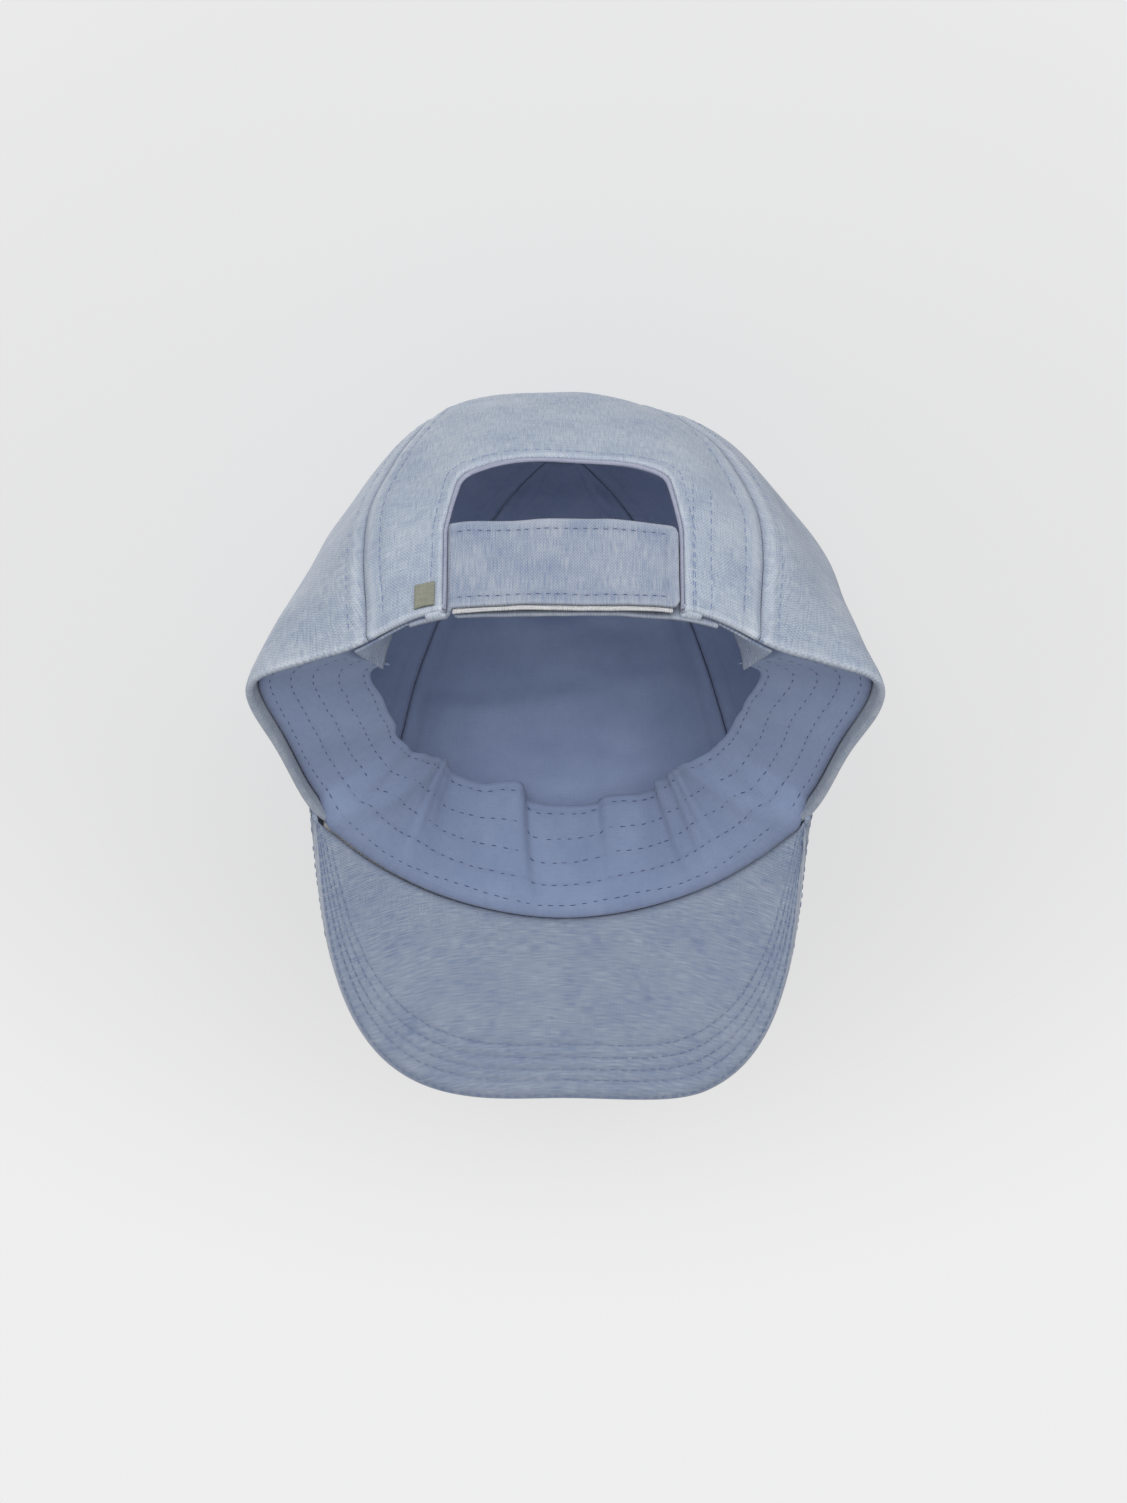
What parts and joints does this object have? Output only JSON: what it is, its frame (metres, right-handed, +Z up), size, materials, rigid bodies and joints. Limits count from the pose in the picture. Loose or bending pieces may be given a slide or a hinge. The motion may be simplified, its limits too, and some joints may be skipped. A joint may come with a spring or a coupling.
{
  "type": "baseball cap",
  "caption": "Soft child's cap with a curved stiffened visor, a lined crown and an arched rear opening closed by a hook-and-loop strap.",
  "frame": {"origin": "middle of the head opening, on the plane the cap rests on: the bottom of the back rim and the low sides of the visor", "axes": "+Z up with the crown on top, visor towards -Y, rear opening towards +Y, the wearer's left towards +X"},
  "size_m": [0.171, 0.2231, 0.1282],
  "materials": {
    "outer_chambray": "soft light-blue chambray, mixed blue and white yarns, matt",
    "lining_cotton": "plain-weave cotton in a darker grey-blue, matt",
    "band_interlining": "white non-woven, matt",
    "hook_tape": "white hook tape, matt",
    "loop_tape": "white brushed loop tape, matt",
    "tag_weave": "small plain woven tag, olive grey, matt",
    "rivet_steel": "plain prong rivet",
    "visor_board": "flexible white polyethylene board, matt",
    "visor_under_cloth": "chambray with a visible cross slub, matt"
  },
  "bodies": {
    "crown": {"front_panel": "outer_chambray", "left_side_panel": "outer_chambray", "right_side_panel": "outer_chambray", "back_panel": "outer_chambray", "front_lining": "lining_cotton", "left_side_lining": "lining_cotton", "right_side_lining": "lining_cotton", "back_lining": "lining_cotton", "sweatband": "lining_cotton", "sweatband_interlining": "band_interlining", "left_rear_facing": "outer_chambray", "right_rear_facing": "outer_chambray", "strap_root": "outer_chambray", "tab_root": "outer_chambray", "opening_binding": "outer_chambray", "side_tag": "tag_weave", "top_button": "outer_chambray", "button_rivet": "rivet_steel"},
    "visor": {"visor_top_cover": "outer_chambray", "visor_board": "visor_board", "visor_under_cover": "visor_under_cloth"},
    "closure_strap": {"closure_strap": "outer_chambray", "closure_hook_tape": "hook_tape"},
    "loop_tab": {"loop_tab": "outer_chambray", "loop_tape": "loop_tape"}
  },
  "joints": [
    {"name": "strap_peel", "type": "hinge", "parent": "crown", "child": "closure_strap", "pos_m": [0.0297, 0.0734, 0.0134], "axis": [0, -0.283, -0.9591], "range_deg": [0, 100]},
    {"name": "tab_flex", "type": "hinge", "parent": "crown", "child": "loop_tab", "pos_m": [-0.0291, 0.0699, 0.013], "axis": [0, -0.28, -0.96], "range_deg": [0, 45]},
    {"name": "visor_tilt", "type": "hinge", "parent": "crown", "child": "visor", "pos_m": [0, -0.024, 0.0165], "axis": [1, 0, 0], "range_deg": [0, 15]}
  ]
}
